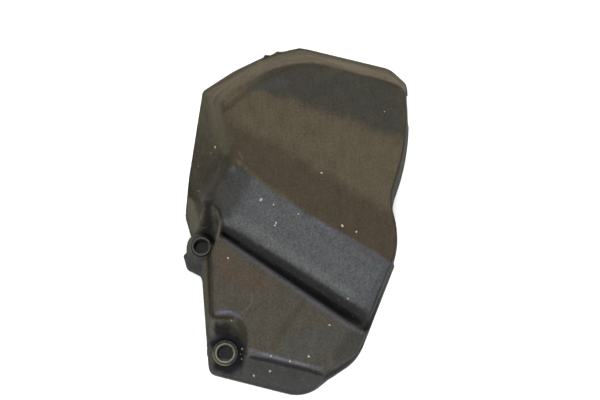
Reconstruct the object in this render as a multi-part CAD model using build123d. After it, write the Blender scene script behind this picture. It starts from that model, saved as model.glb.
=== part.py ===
from build123d import *
import os

# A moulded motorcycle sprocket cover and the two metal sleeves in its fixing holes, in millimetres.
# It lies on its open rim with its outer face up, and the rim is the plane that meets the engine.
# The origin is on the axis of the lower fixing hole, in the plane of the rim.

# Walls and edges
wall = 3.0
web_thickness = 1.9
least_radius = 0.8
crest_edge = 0.9
plateau_edge = 2.4

# Heights above the rim, with the dome's lower places measured down from its top
cover_height = 39.6
head_above_top = 4.4
crest_drop = 3.0
fold_left_drop = 2.4
fold_right_drop = 3.5
head_height = cover_height + head_above_top
crest_height = cover_height - crest_drop
fold_left_height = cover_height - fold_left_drop
fold_right_height = cover_height - fold_right_drop
step_height = 26.0
crest_below_step = 1.5
plateau_height = 20.0
apron_high = 13.0
apron_low = 7.0
apron_block = 17.0
tier_height = 10.0
tier_draft = 0.5
ear_height = 6.5
lobe_height = 3.5

# Fixing holes, their bosses and their sleeves
lower_fixing = (0.0, 0.0)
upper_fixing = (-14.1, 59.2)
lower_seat = 7.5
upper_seat = 9.0
lower_boss_radius = 8.0
upper_boss_radius = 6.8
ear_radius = 8.8
bore_radius = 4.2
sleeve_wall = 1.0
sleeve_fit = 0.02
lower_lip = 1.3
upper_lip = 0.5
flange_radius = 7.0
flange_height = 0.8
sleeve_chamfer = 0.35

# Outlines, each a list of corners clockwise as seen from outside, with the radius of each corner.
# The walls of the dome and of the plateau run from the foot, in the plane of the rim, up to the head.
dome_foot = [
    (-15.8, 152.3, 4), (2.2, 164.6, 60), (21.0, 174.0, 60), (41.0, 179.3, 22), (93.5, 166.0, 12),
    (103.6, 156.6, 8), (104.8, 114.9, 130), (92.7, 81.4, 24), (98.7, 58.4, 40), (77.3, 11.0, 3),
    (-2.8, 61.4, 3), (-20.8, 66.2, 1.5), (-24.4, 77.6, 12), (-22.8, 100.0, 100),
]
dome_head = [
    (-3.5, 130.2, 10), (10.6, 142.1, 45), (27.4, 151.5, 40), (47.9, 153.7, 35), (89.4, 142.8, 12),
    (97.7, 140.2, 5), (100.4, 113.8, 100), (88.6, 80.4, 27), (94.3, 57.4, 38), (79.9, 24.3, 2.5),
    (4.5, 72.7, 3), (-3.0, 78.0, 1.5), (-1.4, 82.3, 3), (12.7, 101.9, 8),
]
plateau_foot = [(-13.4, 78.5, 2), (79.6, 14.0, 2.5), (72.6, -3.0, 18), (53.6, -15.0, 3), (-10.6, -1.6, 2)]
plateau_head = [(-7.9, 66.9, 2), (76.4, 8.8, 2.5), (71.0, -1.0, 9), (52.0, -11.3, 2.5), (-5.4, 3.2, 2)]
tier_outline = [
    (-10.0, 76.0, 5), (60.0, 85.0, 5), (94.9, 50.5, 8), (73.0, -3.7, 28), (56.0, -14.6, 15),
    (43.9, -24.3, 20), (-9.2, -11.1, 5), (-15.0, 54.0, 3),
]
apron_outline = [(8.0, 6.0, 1), (56.0, -6.0, 1), (62.0, -30.0, 1), (8.0, -30.0, 1)]
lobe_outline = [
    (-14.1, 62.0, 1), (-9.0, 38.0, 1), (-13.3, 37.0, 0.8), (-14.3, 43.2, 4), (-22.6, 47.0, 4),
    (-24.3, 53.3, 2), (-25.0, 55.0, 0.2), (-22.8, 56.5, 0.2),
]

# The folds across the dome, each from its left to its right end, and one point of each outer facet
upper_fold = ((11.3, 143.1), (96.4, 113.1))
middle_fold = ((7.0, 121.0), (90.5, 72.4))
lower_fold = ((8.9, 99.4), (89.7, 44.4))
crest_point = (45.3, 156.7)
step_point = (27.5, 52.9)
apron_foot = ((14.0, -3.2), (52.0, -12.8))
apron_edge = (24.1, -19.4)

# The scoops round the fixing holes, each with the centre and radius of its arc at the floor and at the top
lower_scoop_floor = (0.1, 0.3, 8.3)
lower_scoop_top = (0.4, 12.0, 13.0)
scoop_reach = 40.0
upper_scoop_radius = 8.0
upper_scoop_top = (-8.4, 76.3, 6.2)
upper_scoop_height = 26.0
scoop_roundness = 0.9

# The web that closes the groove against the upper scoop, and the round stop at its foot
web_centre = (-3.0, 65.5)
web_size = (9.0, 11.0)
web_low_end = (-5.0, 61.0)
web_high_end = (-2.0, 71.5)
stop_centre = (-0.7, 64.7)
stop_radius = 2.2
stop_height = 14.5

# The ribs inside, and the two notches where the chain passes the right wall
rib_thickness = 2.0
rib_foot = 5.0
ribs = ((lower_fixing, (46.0, -2.0)), (lower_fixing, (22.0, 42.0)), (upper_fixing, (26.0, 34.0)))
sprocket_centre = (45.6, 99.6)
chain_line_radius = 40.7
notch_start = 84.0
notch_width = 18.0
notch_height = 18.0
notch_corner = 4.0

# A plain shallow recess along the plateau, and the angle at which it runs
recess_corner = (24.2, 2.7)
recess_length = 31.0
recess_width = 4.5
recess_angle = 54.0
recess_depth = 0.3

# The block that stands for all the room above a plane, larger than the cover
room_width = 600.0
room_height = 120.0

upright = (Align.CENTER, Align.CENTER, Align.MIN)


def moved_in(corners, distance):
    # The same outline with every side moved inwards, outer corners tighter and inner ones wider
    moved = []
    for i, (x, y, radius) in enumerate(corners):
        here = Vector(x, y)
        before = (here - Vector(*corners[i - 1][:2])).normalized()
        after = (Vector(*corners[(i + 1) % len(corners)][:2]) - here).normalized()
        inward = before.rotate(Axis.Z, -90) + after.rotate(Axis.Z, -90)
        shift = inward * (distance / (1 + before.dot(after)))
        bulges = after.cross(before).Z > 0
        radius = max(radius - distance if bulges else radius + distance, least_radius)
        moved.append((x + shift.X, y + shift.Y, radius))
    return moved


def flat(corners, height):
    points = [corner[:2] for corner in corners]
    line = FilletPolyline(*points, radius=[corner[2] for corner in corners], close=True)
    return Pos(0, 0, height) * make_face(line.edges())


def walled(foot, head, height, inset):
    # A form with sloping walls between two outlines that have the same corners
    return loft([flat(moved_in(foot, inset), 0), flat(moved_in(head, inset), height)], ruled=True)


def at(point, height):
    return Vector(*point, height)


def above(a, b, c, sink=0.0):
    # All that lies above the plane through three points, once it is lowered by the sink
    up = (b - a).cross(c - a)
    plane = Plane(origin=a, z_dir=up if up.Z > 0 else -up)
    return plane * Pos(0, 0, -sink) * Box(room_width, room_width, room_height, align=upright)


def above_level(height):
    return above(at((0, 0), height), at((1, 0), height), at((0, 1), height))


def column(centre, radius, height):
    return Pos(*centre, 0) * Cylinder(radius, height, align=upright)


# The outer forms, each at its true size or moved in by a wall for the hollow under it
def dome(inset):
    form = walled(dome_foot, dome_head, head_height, inset)
    upper_left, upper_right = (at(end, cover_height) for end in upper_fold)
    middle_left, middle_right = (at(end, cover_height) for end in middle_fold)
    lower_left, lower_right = at(lower_fold[0], fold_left_height), at(lower_fold[1], fold_right_height)
    form -= above(upper_left, upper_right, at(crest_point, crest_height), inset)
    form -= above_level(cover_height - inset)
    form -= above(middle_left, middle_right, lower_left, inset)
    form -= above(lower_left, lower_right, at(step_point, step_height), inset)
    return form


def plateau(inset):
    return walled(plateau_foot, plateau_head, plateau_height, inset) - above_level(plateau_height - inset)


def tier(inset):
    # The low step along the rim, with the apron that slopes from the plateau's foot to the rim
    drafted = moved_in(tier_outline, tier_draft)
    ledge = walled(tier_outline, drafted, tier_height, inset) - above_level(tier_height - inset)
    apron = walled(tier_outline, drafted, apron_block, inset) & extrude(flat(apron_outline, 0), apron_block)
    foot_left, foot_right = (at(end, apron_high) for end in apron_foot)
    return ledge + apron - above(foot_left, foot_right, at(apron_edge, apron_low), inset)


# The scoops, at their true size or grown by a wall to keep the hollow clear of them
def lower_scoop(grow):
    outlines = []
    for x, y, radius in (lower_scoop_floor, lower_scoop_top):
        right, top, far = x + radius, y + radius, -scoop_reach
        corners = [(far, top, 1), (right, top, radius), (right, far, 1), (far, far, 1)]
        outlines.append(moved_in(corners, -grow))
    floor, top = outlines
    return loft([flat(floor, lower_seat - grow), flat(top, plateau_height + wall)], ruled=True)


def upper_scoop(grow):
    # A round floor about the boss that widens upwards into a slot running up the dome's flank
    floor_centre = Vector(*upper_fixing)
    top_centre = Vector(*upper_scoop_top[:2])
    along = (top_centre - floor_centre).normalized()
    across = along.rotate(Axis.Z, -90)
    wide, narrow = upper_scoop_radius + grow, upper_scoop_top[2] + grow
    outlines = []
    for centre, radius in ((floor_centre, wide), (top_centre, narrow)):
        corners = [
            (floor_centre - (along + across) * wide, wide), (centre + (along - across) * radius, radius),
            (centre + (along + across) * radius, radius), (floor_centre - (along - across) * wide, wide),
        ]
        outlines.append([(corner.X, corner.Y, scoop_roundness * radius) for corner, radius in corners])
    floor, top = outlines
    body = loft([flat(floor, ear_height - grow), flat(top, upper_scoop_height)], ruled=True)
    return body + extrude(flat(top, upper_scoop_height), head_height - upper_scoop_height)


def web():
    low, high = at(web_low_end, plateau_height), at(web_high_end, step_height)
    reach = Pos(*web_centre, 0) * Box(*web_size, head_height, align=upright)
    wall_end = (upper_scoop(web_thickness) & reach) - above(low, high, high + Vector(1, 0, 0))
    return wall_end + column(stop_centre, stop_radius, stop_height)


def rib(start, end, room):
    start, end = Vector(*start), Vector(*end)
    run = end - start
    turn = Rot(0, 0, Vector(1, 0, 0).get_signed_angle(run, Vector(0, 0, 1)))
    blade = Pos(*((start + end) / 2)) * turn * Box(run.length, rib_thickness, head_height, align=upright)
    return (blade & room) & above_level(rib_foot)


def chain_notch(side):
    middle = sprocket_centre[1] + side * chain_line_radius
    align = (Align.MIN, Align.CENTER, Align.CENTER)
    notch = Pos(notch_start, middle, 0) * Box(scoop_reach, notch_width, 2 * notch_height, align=align)
    return notch.fillet(notch_corner, notch.edges().filter_by(Axis.X))


def plateau_recess():
    place = Pos(*recess_corner, plateau_height) * Rot(0, 0, recess_angle)
    return place * Box(recess_length, recess_width, 2 * recess_depth, align=(Align.MIN, Align.MAX, Align.CENTER))


def fixing_bosses():
    ear = column(upper_fixing, ear_radius, ear_height) + extrude(flat(lobe_outline, 0), lobe_height)
    lower_boss = column(lower_fixing, lower_boss_radius, lower_seat)
    return ear + lower_boss + column(upper_fixing, upper_boss_radius, upper_seat)


def cover_shell():
    high = dome(0)
    crest = high.edges().filter_by_position(Axis.Z, step_height - crest_below_step, head_height)
    high = high.fillet(crest_edge, crest)
    low = plateau(0) - lower_scoop(0)
    low = low.fillet(plateau_edge, low.faces().filter_by(Axis.Z).sort_by(Axis.Z)[-1].edges())
    outside = high + low + (tier(0) - lower_scoop(0)) + web() - upper_scoop(0)
    hollow = dome(wall) + plateau(wall) + tier(wall) - lower_scoop(wall) - upper_scoop(wall)
    shell = outside - hollow + fixing_bosses()
    for start, end in ribs:
        shell += rib(start, end, hollow)
    for side in (-1, 1):
        shell -= chain_notch(side)
    for centre in (lower_fixing, upper_fixing):
        shell -= column(centre, bore_radius + sleeve_wall + sleeve_fit, head_height)
    return shell - plateau_recess()


def sleeve(centre, length):
    body = column(centre, bore_radius + sleeve_wall, length) - column(centre, bore_radius, length)
    mouth = body.faces().sort_by(Axis.Z)[-1].inner_wires()[0]
    return body.chamfer(sleeve_chamfer, None, mouth.edges())


def lower_collar():
    flange = Pos(0, 0, lower_seat) * column(lower_fixing, flange_radius, flange_height)
    middle_of_wall = column(lower_fixing, bore_radius + sleeve_wall / 2, cover_height)
    return sleeve(lower_fixing, lower_seat + lower_lip) + (flange - middle_of_wall)


os.makedirs("parts", exist_ok=True)
export_step(cover_shell(), "parts/cover_shell.step")
export_step(lower_collar(), "parts/lower_collar.step")
export_step(sleeve(upper_fixing, upper_seat + upper_lip), "parts/upper_collar.step")
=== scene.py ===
import bpy
import bmesh
import math
import numpy as np
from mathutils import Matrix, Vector, noise
from mathutils.bvhtree import BVHTree
from mathutils.kdtree import KDTree


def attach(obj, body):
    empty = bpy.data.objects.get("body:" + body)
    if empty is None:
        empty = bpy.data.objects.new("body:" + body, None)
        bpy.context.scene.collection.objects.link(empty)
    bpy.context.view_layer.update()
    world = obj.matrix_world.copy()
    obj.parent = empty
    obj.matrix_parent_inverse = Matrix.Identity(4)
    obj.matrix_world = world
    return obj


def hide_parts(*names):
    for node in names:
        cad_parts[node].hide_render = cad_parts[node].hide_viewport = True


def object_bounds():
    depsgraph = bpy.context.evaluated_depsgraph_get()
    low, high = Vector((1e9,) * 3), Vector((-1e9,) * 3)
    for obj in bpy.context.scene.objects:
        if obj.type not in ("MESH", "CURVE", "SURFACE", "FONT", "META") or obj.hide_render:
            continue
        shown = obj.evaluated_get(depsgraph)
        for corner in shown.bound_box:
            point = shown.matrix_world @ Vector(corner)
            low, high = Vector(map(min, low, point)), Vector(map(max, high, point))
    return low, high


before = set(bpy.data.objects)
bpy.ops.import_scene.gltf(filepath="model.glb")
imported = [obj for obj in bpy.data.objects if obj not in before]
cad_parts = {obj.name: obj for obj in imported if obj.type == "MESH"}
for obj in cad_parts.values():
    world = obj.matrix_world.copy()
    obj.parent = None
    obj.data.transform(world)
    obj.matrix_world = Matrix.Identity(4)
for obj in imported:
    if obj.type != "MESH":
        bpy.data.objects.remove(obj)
cadBox = [list(corner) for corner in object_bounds()]
mm = 0.001
print("frame loaded")

# The camera stands where the photographer did: over the cover, a little towards its lower end
view = {
    "target": (41.03 * mm, 87.56 * mm, 0.0),
    "lean": math.radians(12),
    "distance": 0.65,
    "nearest": 0.01,
    "lens": 68.25,
    "sensor": 36.0,
    "width": 600,
    "height": 400,
}
target = Vector(view["target"])
sight = Vector((0, math.sin(view["lean"]), -math.cos(view["lean"])))
upward = Vector((0, math.cos(view["lean"]), math.sin(view["lean"])))
focal = view["lens"] / view["sensor"] * view["width"]
cameraData = bpy.data.cameras.new("viewCamera")
cameraData.lens, cameraData.sensor_width = view["lens"], view["sensor"]
cameraData.clip_start = view["nearest"]
camera = bpy.data.objects.new("viewCamera", cameraData)
bpy.context.scene.collection.objects.link(camera)
camera.location = target - sight * view["distance"]
camera.rotation_euler = sight.to_track_quat("-Z", "Y").to_euler()
bpy.context.scene.camera = camera


def rayThrough(across, down):
    # The line of sight through a pixel of the photograph
    side = (across - view["width"] / 2) / focal
    rise = (view["height"] / 2 - down) / focal
    return (sight + Vector((side, 0, 0)) + upward * rise).normalized()


def seenAt(points):
    # The pixel of the photograph at which each point is seen
    offset = points - np.array(camera.location)
    depth = offset @ np.array(sight)
    across = view["width"] / 2 + focal * offset[:, 0] / depth
    down = view["height"] / 2 - focal * (offset @ np.array(upward)) / depth
    return np.stack([across, down], axis=1)


# One class for all node trees: it wraps a socket, and sums on it add Math nodes
class Wire:
    def __init__(self, tree, socket=None):
        self.tree, self.socket = tree, socket

    def add(self, kind, settings=None, inputs=None, out=0):
        made = self.tree.nodes.new(kind)
        for name, value in (settings or {}).items():
            setattr(made, name, value)
        for name, value in (inputs or {}).items():
            if isinstance(value, Wire):
                self.tree.links.new(value.socket, made.inputs[name])
            else:
                made.inputs[name].default_value = value
        return Wire(self.tree, made.outputs[out])

    def maths(self, operation, *others):
        inputs = dict(enumerate((self,) + others))
        return self.add("ShaderNodeMath", {"operation": operation}, inputs)

    def __add__(self, other):
        return self.maths("ADD", other)

    __radd__ = __add__

    def __mul__(self, other):
        return self.maths("MULTIPLY", other)

    def __sub__(self, other):
        return self.maths("SUBTRACT", other)

    def __rsub__(self, other):
        return self.add("ShaderNodeMath", {"operation": "SUBTRACT"}, {0: other, 1: self})

    def step(self, low, high):
        # 0 below the low value, 1 above the high one, and smooth between them
        settings = {"interpolation_type": "SMOOTHSTEP"}
        inputs = {"Value": self, "From Min": low, "From Max": high}
        return self.add("ShaderNodeMapRange", settings, inputs)

    def blend(self, first, second):
        settings = {"data_type": "RGBA", "clamp_factor": True}
        return self.add("ShaderNodeMix", settings, {0: self, 6: first, 7: second}, out=2)

    def vector(self, operation, second, out=0):
        return self.add("ShaderNodeVectorMath", {"operation": operation}, {0: self, 1: second}, out)

    def scaled(self, factor):
        # A colour or a vector times a number
        return self.add("ShaderNodeVectorMath", {"operation": "SCALE"}, {0: self, "Scale": factor})

    def parts(self):
        return [self.add("ShaderNodeSeparateXYZ", None, {0: self}, out) for out in range(3)]

    def grain(self, size, detail=2.0, roughness=0.5):
        # Noise with spots of about the given size in millimetres, from 0 to 1
        inputs = {"Vector": self, "Scale": 1 / (size * mm), "Detail": detail, "Roughness": roughness}
        return self.add("ShaderNodeTexNoise", None, inputs)

    def feed(self, socket):
        self.tree.links.new(self.socket, socket)


# How bright the studio light is, the haze that it adds, and the least part of a colour that stays paint
studioGain = 2.1
studioHaze = 0.009
leastPaint = 0.12


def tone(red, green, blue):
    # A colour as seen in the photograph turned into the linear paint that gives it under the studio light
    levels = [level / 255 for level in (red, green, blue)]
    seen = [level / 12.92 if level < 0.04045 else ((level + 0.055) / 1.055) ** 2.4 for level in levels]
    return tuple(max(level - studioHaze, leastPaint * level) / studioGain for level in seen)


def flatTone(colour):
    return (*tone(*colour), 1)


def newMaterial(name):
    material = bpy.data.materials.new(name)
    material.use_nodes = True
    tree = material.node_tree
    return material, tree.nodes["Principled BSDF"].inputs, Wire(tree).add("ShaderNodeTexCoord", out=3)


# The moulded shell: a softened copy of the solid. Softening is in rounds, and bare lengths are in millimetres
shell = {
    "weld": 0.002 * mm,
    "voxel": 0.85 * mm,
    "softening": 5,
    "crestSoftening": 16,
    "crestFrom": (23, 27),
    "leftSoftening": 110,
    "leftCrest": (-34, -10),
    "rimBand": (0.8, 2.6),
    "rimRounds": 8,
    "stepBack": -0.53,
    "underside": 0.4 * mm,
    "rimPlane": 0.01 * mm,
    "rimReach": 1.4 * mm,
    "rimSpacing": 0.3 * mm,
    "sharpAngle": math.radians(30),
    "lipHeight": 3.2 * mm,
    "lipSteepness": 0.6,
    "lipNoise": (2.2, 1),
    "lipUneven": (0.8, 0.9),
    "lipMost": 1.3,
    "tornLip": ((266.5, 57.5, 4.5, 1.5), (278.0, 53.5, 7.0, 1.0), (300.0, 50.0, 6.5, 0.8)),
    "upperFold": ((11.3, 143.1), (96.4, 113.1)),
    "middleFold": ((7.0, 121.0), (90.5, 72.4)),
    "lowerFold": ((8.9, 99.4), (89.7, 44.4)),
}

# The colour of each face, as seen in the photograph
faces = {
    "upper": (91, 83, 68),
    # Partly painted shade: the middle face is painted a darker brown than the upper one
    "middle": (78, 70, 58),
    "top": (69, 67, 61),
    # Partly painted reflection: the slope's pale bluish grey, over bare plastic
    "slope": (91, 93, 94),
    "plateau": (82, 78, 69),
    "topWall": (92, 84, 66),
    "leftWallHigh": (82, 75, 60),
    "leftWallLow": (64, 60, 50),
    # Painted shade: the right wall is painted a dark brown
    "rightWall": (58, 54, 45),
    "apron": (74, 74, 71),
    "ledge": (74, 73, 68),
    "inside": (58, 54, 48),
}

# Where each zone fades in: heights and distances in millimetres, or parts of the normal for a wall
zones = {
    "outer": 0.02,
    "outerRounds": 3,
    "dome": (22.5, 24.5),
    "wall": (-0.84, -0.7),
    "topWall": (0.12, 0.4),
    "sideWall": (0.3, 0.6),
    "top": (-4.0, 4.0),
    "topFromLeft": (4, 24),
    "middle": (-4.0, 4.0),
    "slope": (0.2, 3.6),
    "plateau": (16, 18.5),
    "lowTop": (14, 16),
    "lowFarEnd": (-76, -68),
    "leftWallLow": (-150, -95),
    "apron": (1.5, 4),
    "facing": (0.03, 0.12),
}

# How noise frays the zones, and how wear, grime with painted shade in the hollows, shine and dust lie. A
# noise has its spot size and its seed
wear = {
    "fineNoise": (2.4, 1),
    "broadNoise": (14, 2),
    "fray": (1.6, 3.0),
    "topFray": 4,
    "middleFray": 0.6,
    "slopeFray": 0.35,
    "slopeMottle": (0.95, 0.3),
    "topWallPatches": (0.9, 0.8),
    "leftWallFray": 10,
    "wallMottle": 0.3,
    "markWaver": (0.15, 0.12),
    "edgeRounds": 14,
    "edgeUneven": (0.05, 0.04),
    "edgeBulge": (0.1, 0.3),
    "hollowRounds": 60,
    "hollowUneven": 0.15,
    "hollowDepth": (0.5, 2.2),
    "hollowGrimeAndShadeTone": (30, 30, 28),
    "hollowGrimeAndShadeStrength": 0.6,
    "shine": {"slope": 0.6, "top": 0.1, "edges": 0.3, "plateau": 0.3, "hollowGrimeAndShade": -0.4},
    "dust": {"all": 0.25, "leftWall": 0.6, "low": 0.2, "hollowGrimeAndShade": -0.5},
}

# Soft marks, each with its colour, its strength and a path of the photograph's pixels with its half width
marks = {
    # Painted light: a lighter band along the foot of the slope
    "slopeFootLight": (
        (101, 103, 101), 0.8,
        ((238, 220, 6), (268, 240, 7), (300, 261, 6), (322, 275, 5), (352, 294, 4)),
    ),
    # Painted shade: the slope's left end darkens where it rounds into the left wall
    "slopeLeftShade": (
        (66, 65, 62), 0.85,
        ((240, 168, 6), (244, 174, 12), (236, 184, 18), (228, 198, 17), (225, 212, 9)),
    ),
    # Painted shade on the far left end of the slope
    "slopeLeftEndShade": (
        (56, 53, 47), 0.85,
        ((224, 162, 8), (219, 172, 12), (212, 184, 12), (210, 194, 9), (212, 200, 6)),
    ),
    "slopeRightEnd": ((74, 74, 78), 0.6, ((387, 268, 4), (380, 282, 6), (372, 300, 7), (364, 316, 6))),
    # Painted highlight: a pale bluish line along the right part of the lower fold
    "slopeEdge": ((98, 99, 109), 0.5, ((312, 219, 2.5), (345, 237, 3), (375, 255, 3.5), (388, 264, 3.5))),
    "slopeEdgeDirt": ((94, 85, 67), 0.5, ((240, 163, 3), (262, 182, 3), (290, 201, 2.5))),
    # Painted shade: the dark band in the groove between the slope and the plateau
    "grooveShade": (
        (54, 54, 53), 0.97,
        (
            (223, 227, 4), (240, 238.5, 6.9), (270, 258.5, 7.5), (300, 277.7, 8.2),
            (350, 311, 10.7), (366, 322, 11),
        ),
    ),
    # Painted light: lifts the deepest part of the groove, by the plateau's wall
    "grooveDepthLight": (
        (98, 98, 96), 0.9,
        (
            (240, 245.5, 3), (270, 265, 3), (300, 285, 3.2), (320, 298.5, 3.4),
            (350, 317.5, 3.8), (362, 325, 4),
        ),
    ),
    # Painted shade along the groove's end, at the upper pocket's rim
    "grooveEndShade": ((46, 46, 45), 0.8, ((212, 203, 2), (219, 209, 2.2), (222, 222, 2.6), (223, 232, 3))),
    "webRidge": ((96, 92, 76), 0.7, ((217, 212, 1.5), (220, 222, 1.8), (219, 233, 1.8), (214, 240, 1.5))),
    "plateauRed": ((92, 76, 62), 0.5, ((222, 256, 8), (236, 275, 12), (262, 282, 10))),
    "plateauGrey": ((80, 80, 78), 0.6, ((330, 345, 18), (290, 350, 12), (345, 330, 12))),
    "plateauShade": ((66, 65, 60), 0.8, ((362, 334, 10), (353, 343, 12), (340, 356, 9))),
    # Painted highlight on the plateau's rounded edge along the groove
    "edgeAlongGrooveHighlight": (
        (94, 94, 99), 0.85,
        (
            (226, 239, 3), (240, 248, 4), (270, 269.5, 4.4), (300, 290.5, 4.8), (320, 304.5, 4.6),
            (350, 325, 3.4), (361, 332, 2.8),
        ),
    ),
    # Painted highlight on the plateau's edge over the lower pocket
    "edgeOverPocketHighlight": (
        (96, 96, 106), 0.8, ((217, 313, 2.2), (226, 312, 2.6), (235, 313.5, 2.2), (241, 319, 1.8)),
    ),
    # Painted highlight on the plateau's edge over the apron
    "edgeOverApronHighlight": (
        (94, 94, 102), 0.75, ((250, 350.5, 2.8), (267, 355, 2.8), (300, 363.5, 2.6), (321, 369, 2.2)),
    ),
    "edgeGlint": ((132, 133, 142), 0.55, ((262, 353.5, 1.2), (276, 357.5, 1.3), (308, 365.5, 1))),
    "pocketGlint": ((120, 120, 136), 0.55, ((221, 312, 1.1), (231, 312, 1.1))),
    "chippedFold": ((116, 104, 82), 0.45, ((239, 152, 1.1), (242.5, 158, 1.3))),
    "chippedCorner": ((116, 104, 82), 0.45, ((236.5, 160, 1.1), (240, 164, 1.5))),
    "crestShade": (
        (64, 59, 48), 0.55,
        ((222, 112, 3), (246, 93, 3), (270, 76, 3), (298, 65, 3), (330, 66, 3), (365, 76, 3), (398, 87, 3)),
    ),
    # Painted light: lifts the shade of the softened left crest
    "crestLeftLight": (
        (94, 86, 70), 0.6,
        ((212, 100, 5), (217, 114, 8), (221, 128, 10), (224, 142, 9), (226, 150, 5)),
    ),
    "topFaceLeft": ((72, 71, 69), 0.7, ((249, 88.5, 2.5), (262, 87, 5), (280, 86, 9))),
    "topFaceRight": ((76, 70, 57), 0.6, ((399, 92, 4), (404, 106, 5), (404, 126, 5), (398, 141, 6))),
    "topWallPatch": ((102, 93, 74), 0.6, ((332, 60, 5), (350, 66, 6), (366, 72, 5))),
    "topWallStain": ((84, 76, 60), 0.6, ((333, 67, 4), (340, 69, 4))),
    "lipGreen": ((78, 80, 58), 0.75, ((271, 56, 2.8), (284, 51.5, 2.8), (296, 50, 1.8))),
    "lipDark": ((30, 30, 24), 0.95, ((262, 59, 2.4), (267, 56.5, 3), (272, 54.5, 2.4))),
    "rimLine": (
        (62, 58, 44), 0.7, ((204, 92, 2), (262, 58, 2), (300, 49, 2), (390, 71, 2), (405, 86, 2)),
    ),
    # Painted light on the strip beside the upper pocket that faces the light
    "ledgeStripLight": ((96, 93, 79), 0.9, ((190, 200, 4), (192, 214, 6.5), (195, 228, 7))),
    "stripBorder": ((44, 41, 33), 0.75, ((188, 186, 3), (192, 196, 3.5), (200, 203, 3.5))),
    "upperBossRing": (
        (92, 91, 82), 0.5, ((190.5, 252, 1.6), (190, 244, 1.8), (194, 237.5, 1.8), (202, 234.5, 1.6)),
    ),
    # Painted shade in the upper pocket
    "upperPocketShade": ((36, 36, 33), 0.92, ((208, 204, 4.5), (208, 220, 6.5), (207, 233, 7.5), (211, 240, 5))),
    # Painted shade in the lower pocket
    "lowerPocketShade": ((34, 34, 31), 0.9, ((217, 328, 6), (226, 333, 12), (235, 340, 9), (239, 355, 4))),
    "pocketSide": ((64, 61, 46), 0.6, ((239, 322, 5), (244, 335, 5), (243, 350, 4))),
    "pocketRed": ((84, 62, 44), 0.4, ((231, 331, 2.5), (234, 335, 2.5))),
    "pocketLight": ((98, 96, 86), 0.65, ((212, 320, 3.5), (212, 334, 3))),
    # Painted shade on the sunken floor round the lower sleeve
    "bossFloorShade": (
        (34, 34, 41), 0.95,
        ((214, 344, 5), (228, 339, 7), (239, 349, 8), (239, 362, 7), (229, 370, 6), (217, 366, 5)),
    ),
    # Painted shade on the plateau's left wall, which faces away from the light
    "plateauWallShade": (
        (46, 40, 32), 0.8,
        ((208.5, 252, 3), (209, 280, 3.2), (210.5, 312, 3), (214, 317, 2.5), (232, 318, 2.5)),
    ),
    # Painted light on the ledge left of the plateau
    "ledgeLineLight": ((92, 88, 72), 0.8, ((205, 262, 2.5), (206, 290, 2.5), (208, 325, 2.5))),
    "strip": ((70, 70, 66), 0.7, ((400, 264, 3), (392, 286, 3.5), (383, 308, 4), (374, 332, 4))),
    # Painted shade on the short steep drop between the slope and the right strip
    "stripLineShade": (
        (40, 40, 40), 0.95,
        ((392, 266, 2.4), (386, 280, 2.6), (379, 296, 2.8), (372, 315, 3.2), (367, 328, 3.4)),
    ),
    # Painted shade on the sloping band between the plateau and the outline at the lower right
    "stripBelowShade": ((50, 48, 44), 0.8, ((368, 340, 3.5), (358, 356, 3.5), (342, 368, 3.5), (326, 377, 3))),
    # Painted shadow under the plateau's lower edge
    "apronFootShadow": ((38, 38, 39), 0.92, ((251, 357, 2), (270, 361, 2.6), (300, 368.2, 2.6), (321, 374, 2.2))),
    # Painted shade along the apron's outer edge
    "apronRimShade": (
        (54, 54, 52), 0.6, ((222, 376, 2), (250, 384, 2.5), (280, 391, 3), (300, 394, 3), (318, 389, 3)),
    ),
    "plateauStain": ((66, 57, 48), 0.35, ((305, 300, 3.4), (290, 320, 4), (273, 347, 4))),
    "curvedScratch": (
        (112, 100, 84), 0.6, ((252, 293, 0.9), (252, 302, 0.9), (248, 308, 0.8), (242, 313, 0.8)),
    ),
}

# How a mark fades across its half width
markEdge = (0.35, 1.25)

# The steps between the places where noises of different seeds are read
seedSteps = (17.3, 5.1, 9.7)


def mergedCopy(node, name):
    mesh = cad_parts[node].data.copy()
    work = bmesh.new()
    work.from_mesh(mesh)
    bmesh.ops.remove_doubles(work, verts=work.verts, dist=shell["weld"])
    bmesh.ops.recalc_face_normals(work, faces=work.faces)
    work.to_mesh(mesh)
    work.free()
    mesh.materials.clear()
    made = bpy.data.objects.new(name, mesh)
    bpy.context.scene.collection.objects.link(made)
    return made


def settled(made):
    # Bakes the modifiers into a plain mesh
    bpy.context.view_layer.update()
    graph = bpy.context.evaluated_depsgraph_get()
    mesh = bpy.data.meshes.new_from_object(made.evaluated_get(graph))
    made.modifiers.clear()
    made.data = mesh


def readPoints(mesh):
    points = np.empty(len(mesh.vertices) * 3)
    mesh.vertices.foreach_get("co", points)
    return points.reshape(-1, 3)


def readNormals(mesh):
    normals = np.empty(len(mesh.vertices) * 3)
    mesh.vertex_normals.foreach_get("vector", normals)
    return normals.reshape(-1, 3)


def writePoints(mesh, points):
    mesh.vertices.foreach_set("co", points.ravel())
    mesh.update()


class Smoother:
    # Averages any values over neighbouring points
    def __init__(self, mesh):
        edges = np.empty(len(mesh.edges) * 2, int)
        mesh.edges.foreach_get("vertices", edges)
        self.first, self.second = edges.reshape(-1, 2).T
        count = len(mesh.vertices)
        self.degree = np.bincount(self.first, minlength=count) + np.bincount(self.second, minlength=count)

    def once(self, values):
        total = np.zeros_like(values)
        np.add.at(total, self.first, values[self.second])
        np.add.at(total, self.second, values[self.first])
        return total / self.degree.reshape((-1,) + (1,) * (values.ndim - 1))

    def run(self, values, rounds, share=0.5):
        for _ in range(rounds):
            values = values + (self.once(values) - values) * share
        return values

    def even(self, values, rounds):
        # Takes short ripples off, and by stepping back each time keeps the shape from shrinking
        for _ in range(rounds):
            values = self.run(self.run(values, 1), 1, shell["stepBack"])
        return values


def ramp(values, low, high):
    part = np.clip((values - low) / (high - low), 0, 1)
    return part * part * (3 - 2 * part)


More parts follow.
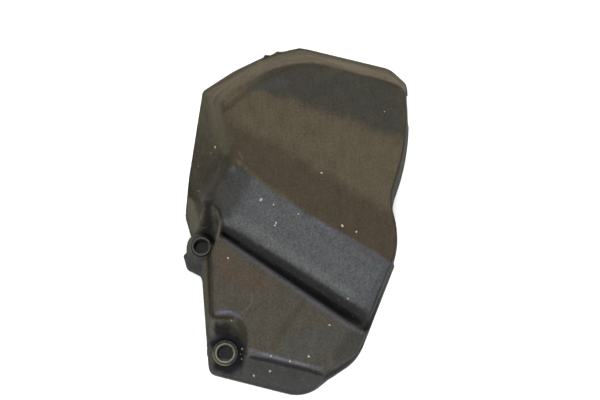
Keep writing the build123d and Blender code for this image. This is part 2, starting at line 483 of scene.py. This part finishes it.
def cloud(points, size, seed, octaves=3):
    # Soft noise about zero, with spots of about the given size in millimetres
    shift = Vector([seed * step for step in seedSteps])
    scale = 1 / (size * mm)
    return np.array([noise.fractal(Vector(point) * scale + shift, 1.0, 2.0, octaves) for point in points])


def beyond(plan, line):
    # How far each point lies above a line on the plan, in millimetres
    start, end = np.array(line[0]), np.array(line[1])
    run = (end - start) / np.linalg.norm(end - start)
    offset = plan[:, :2] - start
    return run[0] * offset[:, 1] - run[1] * offset[:, 0]


def nearPath(pixels, path, waver):
    # 1 along a path of pixels, falling softly to 0 at its half width
    best = np.zeros(len(pixels))
    for (startU, startV, startReach), (endU, endV, endReach) in zip(path, path[1:]):
        start, run = np.array((startU, startV)), np.array((endU - startU, endV - startV))
        along = np.clip(((pixels - start) @ run) / (run @ run), 0, 1)
        gap = np.linalg.norm(pixels - start - along[:, None] * run, axis=1)
        reach = startReach + (endReach - startReach) * along
        best = np.maximum(best, 1 - ramp(gap / reach + waver, *markEdge))
    return best


def coat(base, colour, mask):
    # Lays one colour over others
    return base + (np.array(tone(*colour)) - base) * np.clip(mask, 0, 1)[:, None]


def keep(mesh, name, values):
    # Stores a value or a colour of each point for the material to read
    kind = "FLOAT_COLOR" if values.ndim == 2 else "FLOAT"
    layer = mesh.attributes.new(name, kind, "POINT")
    if values.ndim == 2:
        layer.data.foreach_set("color", np.c_[values, np.ones(len(values))].ravel())
    else:
        layer.data.foreach_set("value", values)


def rimLines(solid):
    # The sharp edges round the rim's flat underside, as pairs of points
    work = bmesh.new()
    work.from_mesh(solid.data)
    sharp = [edge for edge in work.edges if edge.calc_face_angle(0) > shell["sharpAngle"]]
    flat = [edge for edge in sharp if max(corner.co.z for corner in edge.verts) < shell["rimPlane"]]
    lines = np.array([[tuple(corner.co) for corner in edge.verts] for edge in flat])
    work.free()
    return lines


def snapToRim(points, lines):
    # Moves the points nearest to the rim's sharp edges onto them, because the voxels leave small steps there
    near = np.where(points[:, 2] < 2 * shell["rimReach"])[0]
    tree = KDTree(len(near))
    for index, point in enumerate(points[near]):
        tree.insert(point, index)
    tree.balance()
    chosen = {}
    for start, end in lines:
        count = int(np.linalg.norm(end - start) / shell["rimSpacing"]) + 2
        for spot in np.linspace(start, end, count):
            _, index, gap = tree.find(spot)
            if gap < min(shell["rimReach"], chosen.get(index, (math.inf,))[0]):
                chosen[index] = (gap, spot)
    for index, (_, spot) in chosen.items():
        points[near[index]] = spot
    return points


def softenEdges(points, smoother, lines):
    # Rounds the edges as moulding and wear do, the dome's crest most, and keeps the rim's edges crisp
    softened = smoother.run(points, shell["softening"])
    high = ramp(softened[:, 2] / mm, *shell["crestFrom"])[:, None]
    softened = softened + (smoother.run(softened, shell["crestSoftening"]) - softened) * high
    left = ramp(-softened[:, 0] / mm, *shell["leftCrest"])[:, None] * high
    softened = softened + (smoother.run(softened, shell["leftSoftening"]) - softened) * left
    rim = 1 - ramp(points[:, 2] / mm, *shell["rimBand"])[:, None]
    softened = softened + (smoother.even(points, shell["rimRounds"]) - softened) * rim
    softened[:, 2] = np.where(points[:, 2] < shell["underside"], points[:, 2], softened[:, 2])
    return snapToRim(softened, lines)


def tearLip(points, normals):
    # Pushes ragged bits out of the lip of the top rim, at the pixels of the photograph where they are seen
    pixels, rough = seenAt(points), cloud(points, *shell["lipNoise"])
    low = (points[:, 2] < shell["lipHeight"]) & (normals[:, 2] < shell["lipSteepness"])
    least, spread = shell["lipUneven"]
    for across, down, reach, push in shell["tornLip"]:
        gap = np.linalg.norm(pixels - np.array((across, down)), axis=1)
        lift = np.clip((1 - ramp(gap, 0, reach)) * low * (least + spread * rough), 0, shell["lipMost"])
        points = points + normals * np.array([1, 1, 0]) * (lift * push * mm)[:, None]
    return np.clip(points, *cadBox)


def paintSkin(skin, points, smoother):
    # Works out the colour, the gloss and the dust of each point from its face, its marks and its curvature
    normals = readNormals(skin.data)
    plan, pixels = points / mm, seenAt(points)
    fine, broad = cloud(points, *wear["fineNoise"]), cloud(points, *wear["broadNoise"])
    outer = smoother.run((normals[:, 2] > zones["outer"]).astype(float), zones["outerRounds"])

    def bulge(rounds):
        # How far each point stands out from what so many rounds of smoothing make of it, in millimetres
        return np.einsum("ij,ij->i", points - smoother.run(points, rounds), normals) / mm

    fray = wear["fray"][0] * fine + wear["fray"][1] * broad
    dome = ramp(plan[:, 2], *zones["dome"])
    wall = ramp(-normals[:, 2], *zones["wall"]) * outer
    topWall = wall * ramp(normals[:, 1], *zones["topWall"])
    leftWall = wall * ramp(-normals[:, 0], *zones["sideWall"]) * (1 - topWall)
    rightWall = wall * ramp(normals[:, 0], *zones["sideWall"]) * (1 - topWall)
    top = dome * (1 - wall) * ramp(beyond(plan, shell["upperFold"]) + fray, *zones["top"])
    top = top * ramp(plan[:, 0] + wear["topFray"] * broad, *zones["topFromLeft"])
    middle = ramp(wear["middleFray"] * fray - beyond(plan, shell["middleFold"]), *zones["middle"])
    slope = ramp(wear["slopeFray"] * fray - beyond(plan, shell["lowerFold"]), *zones["slope"])
    plateau = (1 - dome) * ramp(plan[:, 2], *zones["plateau"])
    low = (1 - ramp(plan[:, 2], *zones["lowTop"])) * ramp(-plan[:, 1], *zones["lowFarEnd"]) * outer
    leftLow = leftWall * ramp(wear["leftWallFray"] * broad - plan[:, 1], *zones["leftWallLow"])
    slopeMottle = wear["slopeMottle"][0] + wear["slopeMottle"][1] * fine
    topWallPatches = wear["topWallPatches"][0] + wear["topWallPatches"][1] * broad

    layers = (
        ("middle", middle * dome), ("top", top), ("slope", slope * dome * (1 - wall) * slopeMottle),
        ("plateau", plateau), ("topWall", topWall * topWallPatches), ("leftWallHigh", leftWall),
        ("leftWallLow", leftLow), ("rightWall", rightWall), ("ledge", low),
        ("apron", low * ramp(plan[:, 2], *zones["apron"])),
    )
    paint = np.tile(np.array(tone(*faces["upper"])), (len(points), 1))
    for face, mask in layers:
        paint = coat(paint, faces[face], mask)
    paint = paint * (1 + wear["wallMottle"] * fine * wall)[:, None]
    facing = ramp(normals @ -np.array(sight), *zones["facing"])
    waver = wear["markWaver"][0] * fine + wear["markWaver"][1] * broad
    for colour, strength, path in marks.values():
        paint = coat(paint, colour, strength * nearPath(pixels, path, waver) * facing)
    # Darkens the hollows: grime, and painted shade where they lie in shade
    hollowGrimeAndShade = ramp(wear["hollowUneven"] * broad - bulge(wear["hollowRounds"]), *wear["hollowDepth"]) * outer
    paint = coat(paint, wear["hollowGrimeAndShadeTone"], hollowGrimeAndShade * wear["hollowGrimeAndShadeStrength"])
    paint = coat(paint, faces["inside"], 1 - outer)

    uneven = wear["edgeUneven"][0] * fine + wear["edgeUneven"][1] * broad
    worn = ramp(bulge(wear["edgeRounds"]) + uneven, *wear["edgeBulge"]) * outer * (1 - dome)
    shine, dust = wear["shine"], wear["dust"]
    sheen = shine["slope"] * slope * dome + shine["top"] * top + shine["edges"] * worn
    sheen = sheen + shine["plateau"] * plateau + shine["hollowGrimeAndShade"] * hollowGrimeAndShade
    dusty = dust["all"] + dust["leftWall"] * leftWall + dust["low"] * low + dust["hollowGrimeAndShade"] * hollowGrimeAndShade
    keep(skin.data, "paint", np.clip(paint, 0, 1))
    keep(skin.data, "sheen", np.clip(sheen, 0, 1))
    keep(skin.data, "dust", np.clip(dusty, 0, 1) * outer)


# The worn plastic's grain. A noise has its spot size in millimetres, its detail and its roughness
plastic = {
    "speckle": (1.1, 3.0, 0.65),
    "smudge": (7.0, 4.0, 0.6),
    "streak": (1.3, 2.0),
    "streakRun": (1.0, 0.14, 1.0),
    "fleck": (1.5, 1.0),
    "fleckEdge": (0.70, 0.78),
    "fleckTone": (124, 115, 94),
    "pits": (2.6, 1.0),
    "speckleDepth": 1.1,
    "sheenDepth": 1.1,
    "smudgeDepth": 0.5,
    "streakDepth": 0.35,
    "roughness": 0.85,
    "sheenPolish": 0.25,
    "speckleRoughness": 0.25,
    "bumps": (0.7, 0.5),
    "bumpStrength": 0.4,
    "bumpHeight": 0.15 * mm,
    "specular": 0.1,
}


def mouldedPlastic():
    finish, shader, place = newMaterial("wornMouldedPlastic")
    paint = place.add("ShaderNodeAttribute", {"attribute_name": "paint"})
    sheen = place.add("ShaderNodeAttribute", {"attribute_name": "sheen"}, out=2)
    dust = place.add("ShaderNodeAttribute", {"attribute_name": "dust"}, out=2)
    speckle, smudge = place.grain(*plastic["speckle"]), place.grain(*plastic["smudge"])
    streak = place.vector("MULTIPLY", plastic["streakRun"]).grain(*plastic["streak"])
    level = 1 + (speckle - 0.5) * (plastic["speckleDepth"] + sheen * plastic["sheenDepth"])
    level = level + (smudge - 0.5) * plastic["smudgeDepth"] + (streak - 0.5) * plastic["streakDepth"]
    flecks = place.grain(*plastic["fleck"]).step(*plastic["fleckEdge"]) * dust
    flecks.blend(paint.scaled(level), flatTone(plastic["fleckTone"])).feed(shader["Base Color"])
    polished = plastic["roughness"] - sheen * plastic["sheenPolish"]
    (polished + (speckle - 0.5) * plastic["speckleRoughness"]).feed(shader["Roughness"])
    height = speckle * plastic["bumps"][0] + place.grain(*plastic["pits"]) * plastic["bumps"][1]
    inputs = {"Height": height, "Strength": plastic["bumpStrength"], "Distance": plastic["bumpHeight"]}
    place.add("ShaderNodeBump", None, inputs).feed(shader["Normal"])
    shader["Specular IOR Level"].default_value = plastic["specular"]
    return finish


skin = mergedCopy("cover_shell", "coverShellSkin")
rimEdges = rimLines(skin)
remesh = skin.modifiers.new("remesh", "REMESH")
remesh.mode, remesh.voxel_size, remesh.use_smooth_shade = "VOXEL", shell["voxel"], True
settled(skin)
smoother = Smoother(skin.data)
softPoints = softenEdges(readPoints(skin.data), smoother, rimEdges)
writePoints(skin.data, softPoints)
print("shell softened:", len(skin.data.polygons), "faces")
skinPoints = tearLip(softPoints, readNormals(skin.data))
writePoints(skin.data, skinPoints)
print("lip torn")
paintSkin(skin, skinPoints, smoother)
skin.data.materials.append(mouldedPlastic())
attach(skin, "root")
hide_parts("cover_shell")
print("shell painted")

# Pale grit and paint spots that cling to the shell: pixel across, pixel down and size of each
grit = {
    "radius": 0.85 * mm,
    "roundness": 3,
    "breadth": 0.75,
    "flatness": 0.4,
    "unevenness": 0.9 * mm,
    "turnFrom": (-0.3, -0.3, 0.0),
    "turnTo": (0.3, 0.3, 6.2),
    "seed": 4,
    "tones": ((222, 216, 200), (150, 140, 118)),
    "toneSpots": (0.6, 2.0),
    "roughness": 0.7,
    "roughnessSpots": 0.3,
    "roughnessSpread": 0.2,
    "spots": (
        (215.6, 147.0, 1.0), (260.9, 199.7, 1.1), (273.6, 204.6, 0.65), (275.0, 225.2, 0.75),
        (276.0, 222.8, 0.75), (228.0, 258.0, 0.75), (321.5, 172.8, 0.7), (342.3, 225.7, 0.95),
        (356.3, 231.7, 0.75), (298.5, 214.0, 0.6), (384.5, 111.7, 0.45), (348.0, 298.6, 0.6),
        (329.5, 325.0, 0.7), (308.7, 356.5, 0.8), (242.5, 349.0, 0.75), (270.0, 371.0, 0.9),
        (254.0, 375.5, 0.75), (290.0, 361.0, 0.7), (271.0, 356.0, 0.6), (231.5, 320.3, 0.45),
        (198.5, 166.5, 0.4), (199.0, 191.0, 0.45), (211.0, 153.0, 0.4), (352.5, 316.0, 0.4),
        (242.0, 359.0, 0.5),
    ),
}


def gritFinish():
    finish, shader, place = newMaterial("paleGrit")
    tones = (flatTone(colour) for colour in grit["tones"])
    place.grain(*grit["toneSpots"]).blend(*tones).feed(shader["Base Color"])
    rough = grit["roughness"] + place.grain(grit["roughnessSpots"]) * grit["roughnessSpread"]
    rough.feed(shader["Roughness"])
    return finish


def gritTree(material):
    # Scatters rough, flattened lumps over points that carry a size each
    group = bpy.data.node_groups.new("scatteredGrit", "GeometryNodeTree")
    group.interface.new_socket("Geometry", in_out="OUTPUT", socket_type="NodeSocketGeometry")
    group.interface.new_socket("Geometry", in_out="INPUT", socket_type="NodeSocketGeometry")
    wanted = {"Lump radius": grit["radius"], "Flatness": grit["flatness"]}
    values = {}
    for name, value in wanted.items():
        socket = group.interface.new_socket(name, in_out="INPUT", socket_type="NodeSocketFloat")
        values[socket.identifier] = value
    start, end = group.nodes.new("NodeGroupInput"), group.nodes.new("NodeGroupOutput")
    seats, radius, flatness = (Wire(group, socket) for socket in list(start.outputs)[:3])
    ball = seats.add("GeometryNodeMeshIcoSphere", None, {"Radius": radius, "Subdivisions": grit["roundness"]})
    uneven = seats.add("ShaderNodeTexNoise", None, {"Scale": 1 / grit["unevenness"], "Detail": 1.0}, out=1)
    nudge = uneven.vector("SUBTRACT", (0.5, 0.5, 0.5)).scaled(radius)
    lump = seats.add("GeometryNodeSetPosition", None, {"Geometry": ball, "Offset": nudge})
    shape = seats.add("ShaderNodeCombineXYZ", None, {0: 1.0, 1: grit["breadth"], 2: flatness})
    flattened = seats.add("GeometryNodeTransform", None, {"Geometry": lump, "Scale": shape})
    size = seats.add("GeometryNodeInputNamedAttribute", {"data_type": "FLOAT"}, {"Name": "size"})
    turns = {0: grit["turnFrom"], 1: grit["turnTo"], "Seed": grit["seed"]}
    turn = seats.add("FunctionNodeRandomValue", {"data_type": "FLOAT_VECTOR"}, turns)
    inputs = {"Points": seats, "Instance": flattened, "Rotation": turn, "Scale": size}
    placed = seats.add("GeometryNodeInstanceOnPoints", None, inputs)
    real = seats.add("GeometryNodeRealizeInstances", None, {0: placed})
    done = seats.add("GeometryNodeSetMaterial", None, {"Geometry": real, "Material": material})
    done.feed(end.inputs[0])
    return group, values


def seatedSpots():
    # Where the line of sight through each spot's pixel meets the shell, with the spot's size
    corners = [tuple(face.vertices) for face in skin.data.polygons]
    ground = BVHTree.FromPolygons([tuple(point) for point in skinPoints], corners)
    rays = [(rayThrough(across, down), size) for across, down, size in grit["spots"]]
    hits = [(ground.ray_cast(camera.location, ray)[0], size) for ray, size in rays]
    return [(hit, size) for hit, size in hits if hit is not None]


seats = seatedSpots()
gritMesh = bpy.data.meshes.new("paleGrit")
gritMesh.from_pydata([seat for seat, _ in seats], [], [])
keep(gritMesh, "size", np.array([size for _, size in seats]))
lumps = bpy.data.objects.new("paleGrit", gritMesh)
bpy.context.scene.collection.objects.link(lumps)
scatter = lumps.modifiers.new("scatter", "NODES")
scatter.node_group, gritValues = gritTree(gritFinish())
for identifier, value in gritValues.items():
    scatter[identifier] = value
settled(lumps)
writePoints(lumps.data, np.clip(readPoints(lumps.data), *cadBox))
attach(lumps, "root")
print("grit scattered:", len(seats), "lumps")

# The two metal sleeves keep their solids. Radii are in millimetres and colours as seen in the photograph
sleeves = {
    "lower_collar": {
        "name": "yellowPlatedSteel", "centre": (0, 0, 0), "bore": 4.2, "ring": 5.1,
        "platingEdge": (5.9, 6.5), "dirtAmount": 0.47,
        "bright": (172, 168, 148), "metal": (78, 76, 62), "plating": (112, 108, 74), "dirt": (34, 33, 29),
    },
    "upper_collar": {
        "name": "dullSteel", "centre": (-14.1 * mm, 59.2 * mm, 0), "bore": 4.2, "ring": 4.9,
        "platingEdge": (5.0, 5.4), "dirtAmount": 0.5,
        "bright": (108, 107, 97), "metal": (72, 71, 62), "plating": (88, 85, 67), "dirt": (34, 33, 29),
    },
}

# What both finishes share: their noises, and how the ring, the plating, the dirt and the bore fade
metal = {
    "patches": (4.0, 3.0, 0.6),
    "flecks": (0.8, 3.0, 0.7),
    "unevenness": 0.6,
    "ringEdge": (0.1, 0.55),
    "platedTowards": (-0.6, -0.8),
    "platedEdge": (0.45, 1.05),
    "dirtMix": (0.5, 0.5),
    "dirtEdge": 0.08,
    "boreEdge": 0.5,
    "roughness": {"clean": 0.5, "dirt": 0.3, "bore": 0.2, "flecks": 0.2},
    "metallic": {"dull": 0.35, "ring": 0.4, "dirt": 0.5},
    "bumpStrength": 0.4,
    "bumpHeight": 0.08 * mm,
}


def sleeveFinish(look):
    finish, shader, place = newMaterial(look["name"])
    offset = place.vector("SUBTRACT", look["centre"]).scaled(1 / mm)
    across, along, _ = offset.parts()
    radius = (across * across + along * along).maths("SQRT")
    patches, flecks = place.grain(*metal["patches"]), place.grain(*metal["flecks"])
    uneven = radius + (patches - 0.5) * metal["unevenness"]
    bright = 1 - (uneven - look["ring"]).maths("ABSOLUTE").step(*metal["ringEdge"])
    towards = across * metal["platedTowards"][0] + along * metal["platedTowards"][1]
    plated = (towards * (1 / look["ring"])).step(*metal["platedEdge"]) * uneven.step(*look["platingEdge"])
    least, most = look["dirtAmount"] - metal["dirtEdge"], look["dirtAmount"] + metal["dirtEdge"]
    dirty = (flecks * metal["dirtMix"][0] + patches * metal["dirtMix"][1]).step(least, most)
    inBore = 1 - radius.step(look["bore"], look["bore"] + metal["boreEdge"])
    colour = dirty.blend(flatTone(look["metal"]), flatTone(look["dirt"]))
    colour = plated.blend(colour, flatTone(look["plating"]))
    colour = bright.blend(colour, flatTone(look["bright"]))
    inBore.blend(colour, flatTone(look["dirt"])).feed(shader["Base Color"])
    rough, metallic = metal["roughness"], metal["metallic"]
    coarse = rough["clean"] + dirty * rough["dirt"] + inBore * rough["bore"]
    (coarse + (flecks - 0.5) * rough["flecks"]).feed(shader["Roughness"])
    shiny = (1 - inBore) * (metallic["dull"] + bright * metallic["ring"])
    (shiny * (1 - dirty * metallic["dirt"])).feed(shader["Metallic"])
    inputs = {"Height": flecks, "Strength": metal["bumpStrength"], "Distance": metal["bumpHeight"]}
    place.add("ShaderNodeBump", None, inputs).feed(shader["Normal"])
    return finish


for node, look in sleeves.items():
    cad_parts[node].data.materials.clear()
    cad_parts[node].data.materials.append(sleeveFinish(look))
print("sleeves finished")

# The studio: a pale floor and a soft light on each side. Each lamp has its place, size, power and colour
studio = {
    "floorSize": 3.0,
    "floorTone": 0.9,
    "floorRoughness": 0.9,
    "skyStrength": 0.1,
    "lamps": (
        ("farSoftbox", (0.04, 1.1, 0.72), 1.0, 21.0, (1.0, 0.98, 0.94)),
        ("nearSoftbox", (0.0, -0.95, 0.6), 0.6, 19.0, (0.9, 0.94, 1.0)),
        ("rightSoftbox", (1.1, 0.1, 0.68), 0.9, 15.5, (1.0, 0.99, 0.97)),
        ("leftSoftbox", (-1.0, 0.1, 0.68), 0.8, 11.0, (1.0, 0.99, 0.97)),
    ),
}


def layFloor():
    half, grey = studio["floorSize"] / 2, studio["floorTone"]
    corners = [(-half, -half, 0), (half, -half, 0), (half, half, 0), (-half, half, 0)]
    mesh = bpy.data.meshes.new("studioFloor")
    mesh.from_pydata(corners, [], [(0, 1, 2, 3)])
    floor = bpy.data.objects.new("studioFloor", mesh)
    bpy.context.scene.collection.objects.link(floor)
    finish, shader, _ = newMaterial("paleFloor")
    shader["Base Color"].default_value = (grey, grey, grey, 1)
    shader["Roughness"].default_value = studio["floorRoughness"]
    mesh.materials.append(finish)


def lightStudio():
    world = bpy.data.worlds.new("studioSky")
    bpy.context.scene.world = world
    world.use_nodes = True
    background = world.node_tree.nodes["Background"].inputs
    background["Color"].default_value = (1, 1, 1, 1)
    background["Strength"].default_value = studio["skyStrength"]
    for name, position, size, power, shade in studio["lamps"]:
        light = bpy.data.lights.new(name, "AREA")
        light.size, light.energy, light.color = size, power, shade
        lamp = bpy.data.objects.new(name, light)
        bpy.context.scene.collection.objects.link(lamp)
        lamp.location = position
        lamp.rotation_euler = (target - Vector(position)).to_track_quat("-Z", "Y").to_euler()
    bpy.context.scene.view_settings.view_transform = "Standard"


layFloor()
lightStudio()
print("studio lit")
